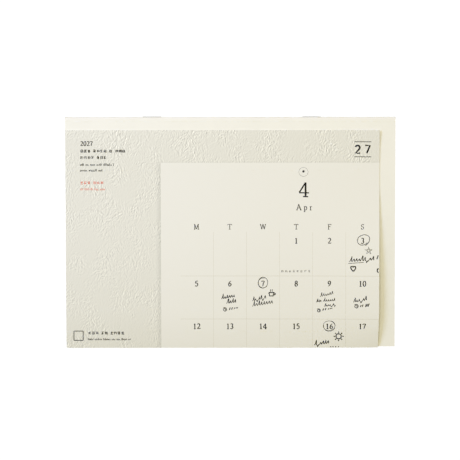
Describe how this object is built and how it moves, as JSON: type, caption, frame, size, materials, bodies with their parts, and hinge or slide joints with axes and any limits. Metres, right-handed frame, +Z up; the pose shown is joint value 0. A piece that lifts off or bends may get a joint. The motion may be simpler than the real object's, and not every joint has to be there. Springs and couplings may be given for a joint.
{
  "type": "folded wall calendar",
  "caption": "Wall calendar of nested folded sheets, wire stitched at the fold and closed, with a loose printed title sheet on its plain cover.",
  "frame": {"origin": "middle of the footprint, at the height of the surface that the back cover lies on", "axes": "+X along the fold to the right, +Y towards the fold, +Z up out of the front cover"},
  "size_m": [0.21, 0.149, 0.0072],
  "materials": {
    "cover_card": "uncoated cream card",
    "page_paper": "smooth cream writing paper",
    "staple_wire": "bright flattened stitching wire",
    "title_paper": "matt printed paper"
  },
  "bodies": {
    "stitched_back": {"back_cover": "cover_card", "cover_fold": "cover_card", "sheet_fold_1": "page_paper", "sheet_fold_2": "page_paper", "sheet_fold_3": "page_paper", "sheet_fold_4": "page_paper", "sheet_fold_5": "page_paper", "sheet_fold_6": "page_paper", "staple_left": "staple_wire", "staple_right": "staple_wire"},
    "back_leaf_1": {"back_leaf_1": "page_paper"},
    "back_leaf_2": {"back_leaf_2": "page_paper"},
    "back_leaf_3": {"back_leaf_3": "page_paper"},
    "back_leaf_4": {"back_leaf_4": "page_paper"},
    "back_leaf_5": {"back_leaf_5": "page_paper"},
    "back_leaf_6": {"back_leaf_6": "page_paper"},
    "front_leaf_6": {"front_leaf_6": "page_paper"},
    "front_leaf_5": {"front_leaf_5": "page_paper"},
    "front_leaf_4": {"front_leaf_4": "page_paper"},
    "front_leaf_3": {"front_leaf_3": "page_paper"},
    "front_leaf_2": {"front_leaf_2": "page_paper"},
    "front_leaf_1": {"front_leaf_1": "page_paper"},
    "front_cover": {"front_cover": "cover_card"},
    "title_sheet": {"title_sheet": "title_paper"}
  },
  "joints": [
    {"name": "back_leaf_1_turn", "type": "hinge", "parent": "stitched_back", "child": "back_leaf_1", "pos_m": [0, 0.07263, 0.00171], "axis": [-1, 0, 0], "range_deg": [0, 180]},
    {"name": "back_leaf_2_turn", "type": "hinge", "parent": "back_leaf_1", "child": "back_leaf_2", "pos_m": [0, 0.07263, 0.00171], "axis": [-1, 0, 0], "range_deg": [0, 180]},
    {"name": "back_leaf_3_turn", "type": "hinge", "parent": "back_leaf_2", "child": "back_leaf_3", "pos_m": [0, 0.07263, 0.00171], "axis": [-1, 0, 0], "range_deg": [0, 180]},
    {"name": "back_leaf_4_turn", "type": "hinge", "parent": "back_leaf_3", "child": "back_leaf_4", "pos_m": [0, 0.07263, 0.00171], "axis": [-1, 0, 0], "range_deg": [0, 180]},
    {"name": "back_leaf_5_turn", "type": "hinge", "parent": "back_leaf_4", "child": "back_leaf_5", "pos_m": [0, 0.07263, 0.00171], "axis": [-1, 0, 0], "range_deg": [0, 180]},
    {"name": "back_leaf_6_turn", "type": "hinge", "parent": "back_leaf_5", "child": "back_leaf_6", "pos_m": [0, 0.07263, 0.00171], "axis": [-1, 0, 0], "range_deg": [0, 180]},
    {"name": "front_leaf_6_turn", "type": "hinge", "parent": "back_leaf_6", "child": "front_leaf_6", "pos_m": [0, 0.07263, 0.00171], "axis": [-1, 0, 0], "range_deg": [0, 180]},
    {"name": "front_leaf_5_turn", "type": "hinge", "parent": "front_leaf_6", "child": "front_leaf_5", "pos_m": [0, 0.07263, 0.00171], "axis": [-1, 0, 0], "range_deg": [0, 180]},
    {"name": "front_leaf_4_turn", "type": "hinge", "parent": "front_leaf_5", "child": "front_leaf_4", "pos_m": [0, 0.07263, 0.00171], "axis": [-1, 0, 0], "range_deg": [0, 180]},
    {"name": "front_leaf_3_turn", "type": "hinge", "parent": "front_leaf_4", "child": "front_leaf_3", "pos_m": [0, 0.07263, 0.00171], "axis": [-1, 0, 0], "range_deg": [0, 180]},
    {"name": "front_leaf_2_turn", "type": "hinge", "parent": "front_leaf_3", "child": "front_leaf_2", "pos_m": [0, 0.07263, 0.00171], "axis": [-1, 0, 0], "range_deg": [0, 180]},
    {"name": "front_leaf_1_turn", "type": "hinge", "parent": "front_leaf_2", "child": "front_leaf_1", "pos_m": [0, 0.07263, 0.00171], "axis": [-1, 0, 0], "range_deg": [0, 180]},
    {"name": "front_cover_turn", "type": "hinge", "parent": "front_leaf_1", "child": "front_cover", "pos_m": [0, 0.07263, 0.00171], "axis": [-1, 0, 0], "range_deg": [0, 180]},
    {"name": "title_sheet_lift", "type": "slide", "parent": "front_cover", "child": "title_sheet", "axis": [0, 0, 1], "range_m": [0, 0.05]}
  ]
}
